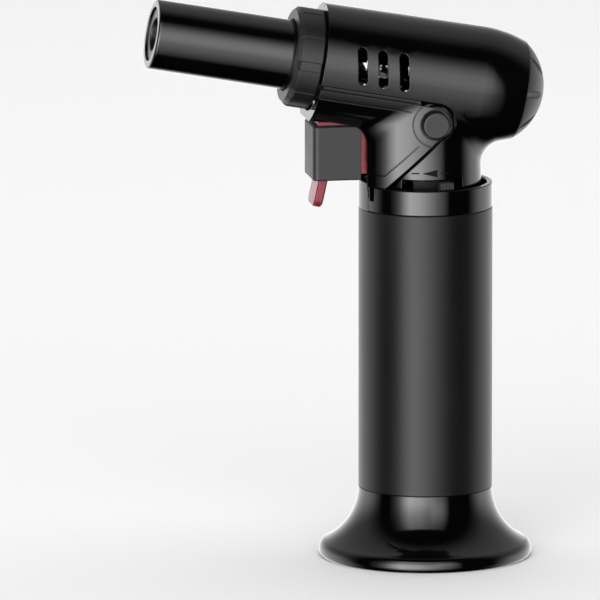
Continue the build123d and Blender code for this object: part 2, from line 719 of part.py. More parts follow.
def trigger():
    """Finger piece: a hollow block, open behind, with a slot for the safety lever."""
    x0, x1 = TRIGGER_X
    z0, z1 = TRIGGER_Z
    body = rounded_block((x0, x1), (-TRIGGER_HALF, TRIGGER_HALF), (z0, z1), 1.8)
    rims = [e for e in body.edges() if e.center().Z < z0 + 0.01 or e.center().Z > z1 - 0.01]
    rims = [e for e in rims if e.center().X < x1 - 0.01]
    body = chamfer(rims, 0.35)
    body = body - block((x0 + 1.8, x1 + 1), (-7.05, 7.05), (z0 + 1.6, z1 - 1.6))
    body = body - block((-36.4, -28.4), (-5.8, 5.8), (z0 - 1, z0 + 3))
    return body - along_y(0.98, (-7.95, 7.95), *SAFETY_PIVOT)


def trigger_carriage():
    """Slide behind the trigger: it carries the block, presses the igniter and the ramps."""
    top = block((-36.2, -16.5), (-7.4, 7.4), (TRIGGER_Z[1] + 0.1, 142.4))
    back = block((TRIGGER_X[1] + 0.1, -16.5), (-7.4, 7.4), (125.4, 142.4))
    tongue = block((-28.0, TRIGGER_X[1] + 0.2), (-6.9, 6.9), (125.6, 139.2))
    press = block((-16.6, -13.9), (-4.6, 4.6), (130.4, 137.4))
    body = top + back + tongue + press
    angle = atan(0.1493)
    ramp_z = TAIL_Z + 1.0 / cos(angle)
    rise = tan(angle)
    arm_end = 9.2
    ramp_start = 2.5
    profile = Polyline(
        (-17, 130.8), (-17, 127.4), (ramp_start - 1.5, 127.4),
        (ramp_start, ramp_z + (ramp_start - TAIL_X) * rise),
        (arm_end, ramp_z + (arm_end - TAIL_X) * rise),
        (arm_end, 129.4), (7.4, 130.8), close=True,
    )
    arms = through_y(make_face(profile), 6.6) & (
        block((-20, 20), (-6.6, -5.0), (120, 140)) + block((-20, 20), (5.0, 6.6), (120, 140))
    )
    return body + arms


def safety_lever():
    """Flat lever under the trigger, hung on its pin and slanting forwards."""
    px, pz = SAFETY_PIVOT
    reach = (pz - SAFETY_TIP_Z) / cos(radians(SAFETY_SLANT))
    blade = block((-1.45, 1.45), (-5.5, 5.5), (-reach + 0.4, 0))
    tip = blade.edges().filter_by(Axis.X).group_by(Axis.Z)[0]
    blade = fillet(tip, 2.6)
    blade = chamfer(blade.faces().sort_by(Axis.Z)[0].edges(), 0.4)
    lever = blade + along_y(2.5, (-5.5, 5.5), 0, 0)
    lever = lever - along_y(1.05, (-10, 10), 0, 0)
    return Pos(px, 0, pz) * Rot(0, SAFETY_SLANT, 0) * lever


def safety_pin():
    """Steel pin on which the safety lever swings."""
    return along_y(0.95, (-7.9, 7.9), *SAFETY_PIVOT)


def piezo_body():
    """Piezo igniter, trapped between the housing halves."""
    body = block((-6.0, 14.0), (-4.2, 4.2), (130.0, 137.8))
    body = fillet(body.edges().filter_by(Axis.X), 0.8)
    body = body + along_x(1.0, (13.9, 15.2), 0, 134)
    return body - along_x(2.7, (-7, 7.0), 0, 134)


def piezo_plunger():
    """Plunger that the carriage pushes into the igniter."""
    return along_x(2.4, (-13.8, 1.0), 0, 134)


def trigger_return_spring():
    """Spring round the plunger that pushes the trigger out again."""
    return Pos(-13.8, 0, 134) * Rot(0, 90, 0) * coil(3.1, 0.4, 7.7, 5)


# ---------------------------------------------------------------- burner
def on_axis(*outline):
    """Solid turned about the barrel axis from (radius, station) points."""
    return BARREL * turned_outline(*outline)


def gas_hose():
    """Hose from the lid's nipple up to the jet's inlet."""
    x, y, z = HOSE_FOOT
    inlet = on_barrel(-4.6, 0, JET_INLET_S)
    below = on_barrel(-10.0, 0, JET_INLET_S)
    points = [
        (x, y, z), (x, y, z + 9), (x + 0.5, y - 0.3, z + 16),
        (below.X - 1.2, 5.2, below.Z - 4.6), below, inlet,
    ]
    return pipe(points, 1.8, 1.2)


def gas_jet():
    """Brass jet: inlet elbow, body, a flange with air holes, a fine nozzle."""
    body = on_axis(
        (0, -5), (3.2, -5), (3.2, 9), (5.55, 9), (5.55, 11), (2.2, 11), (0.9, 15), (0, 15)
    )
    inlet = BARREL * Pos(-3, 0, JET_INLET_S) * Rot(0, -90, 0) * Cylinder(
        1.15, 4.4, align=(Align.CENTER, Align.CENTER, Align.MIN)
    )
    body = body + inlet
    for i in range(4):
        body = body - BARREL * Rot(0, 0, 45 + 90 * i) * Pos(4.2, 0, 0) * Cylinder(0.9, 60)
    bore = on_axis((0, -3), (1.2, -3), (1.2, 11), (0.35, 14), (0.35, 16), (0, 16))
    return largest(body - bore)


def mixer_tube():
    """Chrome mixing tube with air windows near its rear end."""
    wall = on_axis((5.6, 8), (6.5, 8), (6.5, 47), (5.6, 47))
    for i in range(2):
        facing = BARREL * Pos(0, 0, 17) * Rot(0, 0, 90 * i) * Rot(90, 0, 0)
        wall = wall - extrude(facing * SlotOverall(7.5, 4.0, rotation=90), 20, both=True)
    return largest(wall)


def burner_mount():
    """Socket clamped in the head: it holds the nozzle, and the air ring turns on it."""
    body = on_axis(
        (6.52, 30.9), (11.0, 30.9), (11.0, 32.4), (14.6, 32.4), (14.6, 34.3), (13.0, 34.3),
        (13.0, 44.4), (11.25, 44.4), (11.25, 32.5), (6.52, 32.5),
    )
    wire_hole = BARREL * Pos(WIRE_SPOT[0], WIRE_SPOT[1], 32) * Cylinder(1.1, 6)
    return largest(body - wire_hole)


def air_ring():
    """Ribbed ring that turns on the burner mount to set the air."""
    front = RING_FRONT_S
    body = on_axis(
        (13.06, BARREL_FRONT_S + 0.12), (15.3, BARREL_FRONT_S + 0.12), (15.8, BARREL_FRONT_S + 0.6),
        (15.8, front - 1.5), (14.7, front), (11.7, front), (11.7, 44.6), (13.06, 44.6),
    )
    ribs = 9
    rib_outline = (
        (15.0, BARREL_FRONT_S + 0.5), (RING_R - 0.2, BARREL_FRONT_S + 0.5),
        (RING_R, BARREL_FRONT_S + 0.9), (RING_R, front - 1.7),
        (15.2, front - 0.5), (15.0, front - 0.5),
    )
    for i in range(ribs):
        wedge = BARREL * Rot(0, 0, 267.5 + 360 / ribs * i) * Pos(15, 0, 41) * Box(8, 2.9, 12)
        body = body + (on_axis(*rib_outline) & wedge)
    return body


def nozzle_tube():
    """Deep drawn outer nozzle with its front edge turned in."""
    front = NOZZLE_FRONT_S
    inner = NOZZLE_R - NOZZLE_WALL
    corner = 0.8
    return BARREL * turned(
        Polyline((inner, 32.6), (NOZZLE_R, 32.6), (NOZZLE_R, front - corner)),
        CenterArc((NOZZLE_R - corner, front - corner), corner, 0, 90),
        Polyline(
            (NOZZLE_R - corner, front), (8.75, front), (8.75, front - 1.2), (inner, front - 1.2),
            (inner, 32.6),
        ),
    )


def flame_tube():
    """Inner tube that carries the gas mixture to the burner head."""
    wall = on_axis(
        (6.53, 44), (7.8, 44), (7.8, 87), (7.0, 87), (7.0, 47.4), (6.53, 47.4),
    )
    turn = degrees(atan(WIRE_SPOT[1] / WIRE_SPOT[0])) + 180
    slot = BARREL * Rot(0, 0, turn) * Pos(7.4, 0, 79.5) * Box(4, 1.8, 5)
    return wall - slot


def burner_head():
    """Burner front: a flange in the nozzle mouth round the flame opening."""
    return on_axis(
        (5.3, 82.2), (6.95, 82.2), (6.95, 87.05), (8.65, 87.05), (8.65, 89.1), (8.35, 89.4),
        (5.6, 89.4), (5.3, 89.1),
    )


def burner_mesh():
    """Perforated disc that holds the flame."""
    disc = BARREL * Pos(0, 0, 84.6) * Cylinder(5.25, 0.8)
    for count, ring in ((1, 0.0), (6, 1.9), (12, 3.8)):
        for i in range(count):
            spot = BARREL * Rot(0, 0, 360 / count * i) * Pos(ring, 0, 84.6)
            disc = disc - spot * Cylinder(0.55, 4)
    return disc


def spark_wire():
    """High-voltage wire from the igniter to the electrode."""
    up, across = WIRE_SPOT
    points = [
        (11.0, 0, 137.9), (11.0, 0.0, 142.0), (11.5, -4.5, 146.5), on_barrel(-6.5, -9.2, -7),
        on_barrel(-5.2, -10.8, 3), on_barrel(-5.0, -10.9, 13), on_barrel(-4.6, -10.2, 22),
        on_barrel(up, across, 29.5), on_barrel(up, across, 45),
    ]
    return pipe(points, 0.8) + pipe_straight(0.8, 45, 66)


def pipe_straight(r, start, stop):
    """Straight rod inside the nozzle beside the flame tube."""
    rod = Cylinder(r, stop - start, align=(Align.CENTER, Align.CENTER, Align.MIN))
    return BARREL * Pos(*WIRE_SPOT, start) * rod


def electrode_insulator():
    """Ceramic sleeve at the end of the wire."""
    return pipe_straight(1.1, 66.05, 76)


def electrode():
    """Bent steel electrode that reaches through the flame tube behind the burner head."""
    up, across = WIRE_SPOT
    share = 4.0 / WIRE_R
    points = [
        on_barrel(up, across, 76.05), on_barrel(up, across, 78.3),
        on_barrel(up * share, across * share, 80.2), on_barrel(up * share, across * share, 83.2),
    ]
    return pipe(points, 0.4)


# ---------------------------------------------------------------- assembly
PIECES = {
    "foot": foot, "base_plate": base_plate, "base_screws": base_screws, "fuel_tank": fuel_tank,
    "fill_valve_body": fill_valve_body, "fill_valve_nut": fill_valve_nut,
    "fill_valve_seal": fill_valve_seal, "fill_valve_stem": fill_valve_stem,
    "fill_valve_spring": fill_valve_spring, "tank_lid": tank_lid,
    "tank_seal": tank_seal, "pickup_tube": pickup_tube, "handle_sleeve": handle_sleeve, "collar": collar,
    "front_spine": front_spine, "gas_valve_body": gas_valve_body, "gas_valve_stem": gas_valve_stem,
    "gas_valve_spring": gas_valve_spring, "gas_adjust_wheel": gas_adjust_wheel, "valve_lever": valve_lever,
    "lever_pin": lever_pin, "housing_screws": housing_screws, "lock_button": lock_button,
    "lock_button_spring": lock_button_spring,
    "rear_cap": rear_cap, "trigger": trigger, "trigger_carriage": trigger_carriage,
    "safety_lever": safety_lever, "safety_pin": safety_pin, "piezo_body": piezo_body,
    "piezo_plunger": piezo_plunger, "trigger_return_spring": trigger_return_spring, "gas_hose": gas_hose,
    "gas_jet": gas_jet, "mixer_tube": mixer_tube, "burner_mount": burner_mount, "air_ring": air_ring,
    "nozzle_tube": nozzle_tube, "flame_tube": flame_tube, "burner_head": burner_head,
    "burner_mesh": burner_mesh, "spark_wire": spark_wire, "electrode_insulator": electrode_insulator,
    "electrode": electrode,
}

for name, make in PIECES.items():
    made = make()
    keep(name, *(made if isinstance(made, list) else [made]))
head = housing()
keep("housing_left", housing_left(head))
keep("housing_right", housing_right(head))
keep("side_cover_left", cover(-1))
keep("side_cover_right", cover(1))
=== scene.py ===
from math import cos, pi, radians, sin

import bpy
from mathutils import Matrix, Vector
from mathutils.bvhtree import BVHTree


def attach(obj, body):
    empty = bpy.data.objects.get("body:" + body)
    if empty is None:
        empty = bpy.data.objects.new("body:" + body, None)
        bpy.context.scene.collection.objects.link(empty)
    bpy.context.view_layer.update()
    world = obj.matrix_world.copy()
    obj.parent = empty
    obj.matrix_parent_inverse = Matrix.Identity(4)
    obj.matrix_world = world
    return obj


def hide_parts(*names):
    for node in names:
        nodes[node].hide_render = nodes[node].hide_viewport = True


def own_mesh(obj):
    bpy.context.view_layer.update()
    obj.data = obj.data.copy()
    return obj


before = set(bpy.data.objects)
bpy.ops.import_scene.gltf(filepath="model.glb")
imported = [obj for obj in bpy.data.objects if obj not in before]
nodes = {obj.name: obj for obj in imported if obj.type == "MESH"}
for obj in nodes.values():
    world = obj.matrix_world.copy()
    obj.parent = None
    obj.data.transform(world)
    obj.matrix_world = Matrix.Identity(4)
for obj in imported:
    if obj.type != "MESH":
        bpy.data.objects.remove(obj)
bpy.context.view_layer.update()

# --- Head housing, side covers, collar and foot ----------------------------------------------
# The two housing halves, the covers over them, the collar, its front strip and the foot are
# injection moulded in black ABS from polished tools. The halves are screwed together, the
# covers and the strip clip on.


def new_material(name, **sockets):
    """A material whose uniform values are set on the Principled shader's own sockets."""
    material = bpy.data.materials.new(name)
    material.use_nodes = True
    shader = material.node_tree.nodes["Principled BSDF"]
    for socket, value in sockets.items():
        shader.inputs[socket.replace("_", " ")].default_value = value
    return material


def node(material, kind, **settings):
    """Adds one node; keys name its inputs, or its own properties when it has no such input."""
    made = material.node_tree.nodes.new(kind)
    for key, value in settings.items():
        label = key.replace("_", " ")
        if label in made.inputs:
            made.inputs[label].default_value = value
        else:
            setattr(made, key, value)
    return made


def wire(material, source, output, target, socket):
    """Links an output of one node to an input of another."""
    material.node_tree.links.new(source.outputs[output], target.inputs[socket])


def shader_of(material):
    """The Principled shader of a material."""
    return material.node_tree.nodes["Principled BSDF"]


def noise(material, scale, detail=3.0, roughness=0.5, stretch=(1, 1, 1)):
    """Noise on Object coordinates, in metres, stretched along an axis when asked."""
    place = node(material, "ShaderNodeTexCoord")
    fit = node(material, "ShaderNodeMapping")
    fit.inputs["Scale"].default_value = stretch
    grain = node(material, "ShaderNodeTexNoise", Scale=scale, Detail=detail, Roughness=roughness)
    wire(material, place, "Object", fit, "Vector")
    wire(material, fit, "Vector", grain, "Vector")
    return grain


def remap(material, source, output, low, high, start=0.0, stop=1.0):
    """Maps a value from one range to another."""
    step = node(material, "ShaderNodeMapRange")
    for label, value in (("From Min", start), ("From Max", stop), ("To Min", low), ("To Max", high)):
        step.inputs[label].default_value = value
    wire(material, source, output, step, "Value")
    return step


def bump(material, source, output, height, under=None):
    """Bump of a given height in metres, over an earlier normal when there is one."""
    relief = node(material, "ShaderNodeBump", Strength=1.0, Distance=height)
    wire(material, source, output, relief, "Height")
    if under:
        wire(material, under, "Normal", relief, "Normal")
    return relief


def soft_edges(material, radius):
    """Rounds the look of hard edges as the tool's small radii do."""
    return node(material, "ShaderNodeBevel", Radius=radius, samples=6)


def vary_colour(material, source, output, dark, light, start=0.3, stop=0.7):
    """Blends two near colours by a texture into the base colour."""
    ramp = node(material, "ShaderNodeValToRGB")
    ramp.color_ramp.elements[0].position = start
    ramp.color_ramp.elements[0].color = (*dark, 1)
    ramp.color_ramp.elements[1].position = stop
    ramp.color_ramp.elements[1].color = (*light, 1)
    wire(material, source, output, ramp, "Fac")
    wire(material, ramp, "Color", shader_of(material), "Base Color")
    return ramp


def gloss_black(name, ior, low, high, edge):
    """Polished black: faint tool waviness, fine wipe marks, haze that sets its roughness."""
    material = new_material(name, IOR=ior, Metallic=0.0)
    haze = noise(material, 38, 4, 0.6)
    vary_colour(material, haze, "Fac", (0.0007, 0.0007, 0.0008), (0.0014, 0.0014, 0.0016))
    along_the_wipe = 0.06
    wipes = noise(material, 900, 2, 0.5, (1, 1, along_the_wipe))
    rough = remap(material, haze, "Fac", low, high, 0.3, 0.75)
    wire(material, rough, "Result", shader_of(material), "Roughness")
    rounded = soft_edges(material, edge)
    wave_height = 0.000006
    wipe_height = 0.00000035
    waves = bump(material, noise(material, 55, 1), "Fac", wave_height, rounded)
    fine = bump(material, wipes, "Fac", wipe_height, waves)
    wire(material, fine, "Normal", shader_of(material), "Normal")
    return material


moulded_black = gloss_black("moulded_black", ior=1.52, low=0.06, high=0.12, edge=0.00028)


def paint(material, *names):
    """Puts one material on CAD nodes."""
    for name in names:
        mesh = nodes[name].data
        mesh.materials.clear()
        mesh.materials.append(material)


paint(
    moulded_black, "housing_left", "housing_right", "side_cover_left", "side_cover_right",
    "collar", "front_spine", "foot",
)

# --- Handle sleeve ----------------------------------------------------------------------------
# Drawn aluminium tube, bead blasted and anodised graphite grey. It slides over the tank and is
# trapped between the foot and the collar.
anodised = new_material("graphite_anodised", Metallic=0.0, IOR=1.5, Specular_IOR_Level=0.27)
blast = noise(anodised, 5200, 2, 0.6)
cloud = noise(anodised, 45, 4, 0.6, (1, 1, 0.35))
vary_colour(anodised, cloud, "Fac", (0.0045, 0.0045, 0.0047), (0.0065, 0.0065, 0.0068))
satin = remap(anodised, cloud, "Fac", 0.33, 0.38, 0.3, 0.7)
wire(anodised, satin, "Result", shader_of(anodised), "Roughness")
blast_depth = 0.000004
matt = bump(anodised, blast, "Fac", blast_depth, soft_edges(anodised, 0.0003))
wire(anodised, matt, "Normal", shader_of(anodised), "Normal")
paint(anodised, "handle_sleeve")

# --- Nozzle -----------------------------------------------------------------------------------
# Deep drawn steel tube, stove enamelled black, with its front edge turned in. It is pushed into
# the burner mount, and the burner head closes its mouth.
enamel = gloss_black("black_enamel", ior=1.62, low=0.07, high=0.13, edge=0.00025)
paint(enamel, "nozzle_tube")

# --- Air ring and rear cap --------------------------------------------------------------------
# Moulded from a fine-textured tool in matte black nylon, the ring to be gripped, the cap to
# close the barrel. The ring turns on the mount, the cap is pressed in.


def textured_plastic(name, dark, light, low, high, grain, height, edge):
    """Matte plastic from a spark-eroded tool: fine pits, shinier where fingers rub."""
    material = new_material(name, IOR=1.48, Metallic=0.0)
    pits = noise(material, grain, 3, 0.7)
    rub = noise(material, 60, 3, 0.6)
    vary_colour(material, rub, "Fac", dark, light)
    rough = remap(material, rub, "Fac", low, high, 0.3, 0.7)
    wire(material, rough, "Result", shader_of(material), "Roughness")
    relief = bump(material, pits, "Fac", height, soft_edges(material, edge))
    wire(material, relief, "Normal", shader_of(material), "Normal")
    return material


matte_black = textured_plastic(
    "matte_black", (0.006, 0.006, 0.0063), (0.010, 0.010, 0.0104),
    low=0.36, high=0.46, grain=2600, height=0.00003, edge=0.0003,
)
paint(matte_black, "air_ring", "rear_cap", "base_plate")

# --- Trigger and lock button ------------------------------------------------------------------
# Charcoal glass-filled plastic with a fine grain. The trigger slides on its carriage; the
# button sits in the left cover's boss over a small spring.
charcoal = textured_plastic(
    "charcoal", (0.011, 0.011, 0.0113), (0.016, 0.016, 0.0164),
    low=0.44, high=0.54, grain=3000, height=0.000035, edge=0.0003,
)
paint(charcoal, "trigger")
button_plastic = textured_plastic(
    "button_black", (0.004, 0.004, 0.0042), (0.007, 0.007, 0.0073),
    low=0.24, high=0.32, grain=1800, height=0.00001, edge=0.0003,
)
paint(button_plastic, "lock_button")

# --- Red carriage and safety lever ------------------------------------------------------------
# Both are moulded in crimson acetal, slightly translucent at thin edges.
crimson = new_material("crimson_acetal", IOR=1.48, Subsurface_Weight=0.08)
shader_of(crimson).inputs["Subsurface Radius"].default_value = (0.0012, 0.0002, 0.0002)
mottle = noise(crimson, 120, 3)
vary_colour(crimson, mottle, "Fac", (0.17, 0.008, 0.018), (0.23, 0.011, 0.026))
sheen = remap(crimson, mottle, "Fac", 0.22, 0.32, 0.3, 0.7)
wire(crimson, sheen, "Result", shader_of(crimson), "Roughness")
peel_height = 0.000006
peel = bump(crimson, noise(crimson, 900, 2), "Fac", peel_height, soft_edges(crimson, 0.0004))
wire(crimson, peel, "Normal", shader_of(crimson), "Normal")
paint(crimson, "trigger_carriage", "safety_lever")

# --- Gas adjuster -----------------------------------------------------------------------------
# Black acetal wheel on the valve; its ribbed grey tab, a second shot of plastic, comes out
# through the neck's window, and a thin grey band round the rim's outer edge is a painted highlight.
# The valve lever above it is plain grey acetal.
adjuster_grey = textured_plastic(
    "adjuster_grey", (0.030, 0.030, 0.031), (0.042, 0.042, 0.043),
    low=0.34, high=0.44, grain=1500, height=0.00001, edge=0.0002,
)
wheel_plastic = textured_plastic(
    "adjuster_black_grey_painted_rim_highlight", (0.003, 0.003, 0.003), (0.005, 0.005, 0.005),
    low=0.34, high=0.44, grain=1500, height=0.00001, edge=0.0002,
)
wheel_shader = shader_of(wheel_plastic)
# From this radius out the wheel is grey: the ribbed tab, grey plastic of the second shot, and a thin band
# round the outer edge of the black rim, a painted highlight along the rim's top.
grey_tab_and_highlight_radius = 0.0163
tab_and_painted_highlight_grey = (0.040, 0.040, 0.041, 1)
place = node(wheel_plastic, "ShaderNodeTexCoord")
flat = node(wheel_plastic, "ShaderNodeVectorMath", operation="MULTIPLY")
flat.inputs[1].default_value = (1, 1, 0)
radius = node(wheel_plastic, "ShaderNodeVectorMath", operation="LENGTH")
grey_tab_and_highlight_mask = node(wheel_plastic, "ShaderNodeMath", operation="GREATER_THAN")
grey_tab_and_highlight_mask.inputs[1].default_value = grey_tab_and_highlight_radius
tab_and_highlight_mix = node(wheel_plastic, "ShaderNodeMix", data_type="RGBA")
colour_a, colour_b = (socket for socket in tab_and_highlight_mix.inputs if socket.type == "RGBA")
colour_out = next(socket for socket in tab_and_highlight_mix.outputs if socket.type == "RGBA")
colour_b.default_value = tab_and_painted_highlight_grey
wire(wheel_plastic, place, "Object", flat, 0)
wire(wheel_plastic, flat, 0, radius, 0)
wire(wheel_plastic, radius, "Value", grey_tab_and_highlight_mask, 0)
wire(wheel_plastic, grey_tab_and_highlight_mask, 0, tab_and_highlight_mix, 0)
black_shot = wheel_shader.inputs["Base Color"].links[0].from_socket
wheel_plastic.node_tree.links.new(black_shot, colour_a)
wheel_plastic.node_tree.links.new(colour_out, wheel_shader.inputs["Base Color"])
wheel_shader.inputs["Specular IOR Level"].default_value = 0.1
paint(wheel_plastic, "gas_adjust_wheel")
paint(adjuster_grey, "valve_lever")

# --- Gas scale --------------------------------------------------------------------------------
# Pad-printed scale over the adjuster's window: a minus, a wedge that grows with the flow and a
# plus, in matt black ink that stands a few hundredths of a millimetre off the neck's polish.
ink = textured_plastic(
    "scale_ink", (0.0012, 0.0012, 0.0012), (0.002, 0.002, 0.002),
    low=0.55, high=0.65, grain=2400, height=0.000004, edge=0.00001,
)
shader_of(ink).inputs["Specular IOR Level"].default_value = 0.12
neck = nodes["housing_left"].data
neck_surface = BVHTree.FromPolygons(
    [vertex.co for vertex in neck.vertices], [tuple(face.vertices) for face in neck.polygons]
)
ink_relief = 0.00004
scale_height = 0.12655


def on_neck(x, z):
    """The neck's surface on the lock button's side, at a given X and height."""
    outside = -0.05
    hit, normal, _, _ = neck_surface.ray_cast(Vector((x, outside, z)), Vector((0, 1, 0)))
    return hit, normal


def print_mark(name, outlines):
    """Closed slab of ink for each outline, a strip given as (x, low, high) stations."""
    corners = []
    faces = []
    for stations in outlines:
        first = len(corners)
        for x, low, high in stations:
            for z in (low, high):
                hit, normal = on_neck(x, z)
                corners.append(hit - normal * ink_relief)
                corners.append(hit + normal * ink_relief)
        for i in range(len(stations) - 1):
            a = first + 4 * i
            b = a + 4
            faces += [
                (a + 1, b + 1, b + 3, a + 3), (a, a + 2, b + 2, b),
                (a, b, b + 1, a + 1), (a + 2, a + 3, b + 3, b + 2),
            ]
        end = first + 4 * (len(stations) - 1)
        faces += [(first, first + 1, first + 3, first + 2), (end, end + 2, end + 3, end + 1)]
    mesh = bpy.data.meshes.new(name)
    mesh.from_pydata(corners, [], faces)
    mesh.validate()
    mark = bpy.data.objects.new(name, mesh)
    bpy.context.scene.collection.objects.link(mark)
    mesh.materials.append(ink)
    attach(mark, "torch_body")


def strip(left, right, low, high, count=8):
    """Stations of a straight bar of ink."""
    return [(left + (right - left) * i / count, low, high) for i in range(count + 1)]


half_line = 0.0002
bar = 0.0024
minus_left = -0.0075
line_low = scale_height - half_line
line_high = scale_height + half_line
print_mark("scale_minus", [strip(minus_left, minus_left + bar, line_low, line_high)])
wedge_left = -0.0039
wedge_length = 0.0045
wedge_tip = 0.0001
wedge_rise = 0.0011
wedge_steps = 8
print_mark("scale_wedge", [[
    (
        wedge_left + wedge_length * i / wedge_steps,
        scale_height - wedge_tip - wedge_rise * i / wedge_steps,
        scale_height + wedge_tip + wedge_rise * i / wedge_steps,
    )
    for i in range(wedge_steps + 1)
]])
plus_left = 0.0018
plus_middle = plus_left + bar / 2
print_mark("scale_plus", [
    strip(plus_left, plus_middle - half_line, line_low, line_high, 4),
    strip(
        plus_middle - half_line, plus_middle + half_line,
        scale_height - bar / 2, scale_height + bar / 2, 2,
    ),
    strip(plus_middle + half_line, plus_left + bar, line_low, line_high, 4),
])

# --- Metal parts inside -----------------------------------------------------------------------
# Turned brass valves, a turned brass jet chromed like the mixing tube, plain steel springs, pins
# and screws, die-cast burner mount, stainless flame tube. Most are seen only through openings.


def metal(name, dark, light, low, high, streaks):
    """Machined or plated metal with faint turning marks and tarnish."""
    material = new_material(name, Metallic=1.0)
    tarnish = noise(material, 300, 4, 0.6)
    vary_colour(material, tarnish, "Fac", dark, light)
    rough = remap(material, tarnish, "Fac", low, high, 0.3, 0.7)
    wire(material, rough, "Result", shader_of(material), "Roughness")
    marks = noise(material, streaks, 2, 0.5, (0.1, 1, 1))
    mark_depth = 0.000004
    turned_marks = bump(material, marks, "Fac", mark_depth, soft_edges(material, 0.00015))
    wire(material, turned_marks, "Normal", shader_of(material), "Normal")
    return material


brass = metal("turned_brass", (0.52, 0.36, 0.13), (0.66, 0.48, 0.20), low=0.22, high=0.36, streaks=5000)
steel = metal("plain_steel", (0.40, 0.40, 0.41), (0.52, 0.52, 0.53), low=0.26, high=0.38, streaks=5000)
chrome = metal("bright_chrome", (0.70, 0.71, 0.73), (0.82, 0.83, 0.85), low=0.04, high=0.10, streaks=3000)
zinc = metal("cast_zinc", (0.22, 0.22, 0.23), (0.30, 0.30, 0.31), low=0.45, high=0.60, streaks=1500)
heated = metal("heated_steel", (0.10, 0.095, 0.09), (0.17, 0.155, 0.15), low=0.30, high=0.45, streaks=4000)
paint(brass, "fill_valve_body", "fill_valve_nut", "fill_valve_stem", "gas_valve_body", "gas_valve_stem")
paint(
    steel, "fill_valve_spring", "gas_valve_spring", "trigger_return_spring", "lock_button_spring",
    "lever_pin", "safety_pin", "base_screws", "housing_screws", "electrode",
)
paint(chrome, "mixer_tube", "gas_jet")
paint(zinc, "burner_mount")
paint(heated, "flame_tube", "burner_mesh", "burner_head")

# --- Springs ----------------------------------------------------------------------------------
# Music-wire compression springs, the CAD's own coils. Each sits between a fixed seat and the part
# that presses it. Each is copied to an object of its own on the torch body, with a mesh of its own,
# and its CAD node is hidden.
springs = (
    # node, joint, axis, fixed seat, free length, travel
    ("fill_valve_spring", "fill_valve_press", (0, 0, 1), (0, 0, 0.01595), 0.0045, 0.0015),
    ("gas_valve_spring", "trigger_pull", (0, 0, 1), (0, 0, 0.11885), 0.0078, 0.00106),
    ("lock_button_spring", "lock_press", (0, 1, 0), (0, -0.00995, 0.1423), 0.0055, 0.0018),
    ("trigger_return_spring", "trigger_pull", (1, 0, 0), (-0.0061, 0, 0.134), 0.0077, 0.005),
)
for coil_name, coil_joint, coil_axis, fixed_seat, free_length, travel in springs:
    coiled = bpy.data.objects.new(coil_name + "_coil", nodes[coil_name].data.copy())
    bpy.context.scene.collection.objects.link(coiled)
    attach(coiled, "torch_body")
    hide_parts(coil_name)
    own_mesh(coiled)

# --- Plastic, rubber and ceramic parts inside -------------------------------------------------
# Natural acetal tank and lid, ivory igniter, black rubber hose and seals, silicone-jacketed
# wire, glazed ceramic round the electrode.
natural = textured_plastic(
    "natural_acetal", (0.62, 0.61, 0.56), (0.70, 0.69, 0.65),
    low=0.35, high=0.45, grain=900, height=0.00001, edge=0.0003,
)
ivory = textured_plastic(
    "ivory_plastic", (0.66, 0.62, 0.50), (0.74, 0.70, 0.58),
    low=0.35, high=0.45, grain=900, height=0.00001, edge=0.0003,
)
rubber = textured_plastic(
    "black_rubber", (0.012, 0.012, 0.012), (0.020, 0.020, 0.020),
    low=0.5, high=0.65, grain=1200, height=0.00002, edge=0.0002,
)
ceramic = textured_plastic(
    "glazed_ceramic", (0.74, 0.73, 0.69), (0.82, 0.81, 0.78),
    low=0.10, high=0.16, grain=400, height=0.000004, edge=0.0002,
)
paint(natural, "fuel_tank", "tank_lid")
paint(ivory, "piezo_body", "piezo_plunger", "pickup_tube")
paint(rubber, "tank_seal", "fill_valve_seal", "gas_hose", "spark_wire")
paint(ceramic, "electrode_insulator")

# --- Floor ------------------------------------------------------------------------------------
# Plain pale floor under and behind the object.
floor_mesh = bpy.data.meshes.new("floor")
reach = 9.0
floor_mesh.from_pydata(
    [(-reach, -reach, 0), (reach, -reach, 0), (reach, reach, 0), (-reach, reach, 0)], [], [(0, 1, 2, 3)]
)
floor = bpy.data.objects.new("floor", floor_mesh)
bpy.context.scene.collection.objects.link(floor)
floor_paint = new_material("floor_paint", Roughness=0.7, Specular_IOR_Level=0.2)
vary_colour(floor_paint, noise(floor_paint, 3, 2), "Fac", (0.87, 0.87, 0.87), (0.88, 0.88, 0.88))
floor_mesh.materials.append(floor_paint)
floor.visible_glossy = False

# --- Studio light -----------------------------------------------------------------------------
# One broad soft panel beside the camera, brightest in its middle, a weaker one beside it, black
# flags round them, a pale room behind, and a large soft lamp overhead for the floor.
VIEW_AZIMUTH = radians(-10.0)
world = bpy.data.worlds.new("studio")
bpy.context.scene.world = world
world.use_nodes = True
sky_tree = world.node_tree


def sky_math(operation, first, second=None, third=None):
    """One math node of the sky; numbers and outputs are both welcome."""
    step = sky_tree.nodes.new("ShaderNodeMath")
    step.operation = operation
    for slot, value in zip(step.inputs, (first, second, third)):
        if value is None:
            continue
        if isinstance(value, (int, float)):
            slot.default_value = value
        else:
            sky_tree.links.new(value, slot)
    return step.outputs[0]


def sky_range(value, low, high, out_low, out_high):
    """Smooth step of a value from one range to another."""
    step = sky_tree.nodes.new("ShaderNodeMapRange")
    step.interpolation_type = "SMOOTHSTEP"
    for label, number in zip(("From Min", "From Max", "To Min", "To Max"), (low, high, out_low, out_high)):
        step.inputs[label].default_value = number
    sky_tree.links.new(value, step.inputs["Value"])
    return step.outputs["Result"]


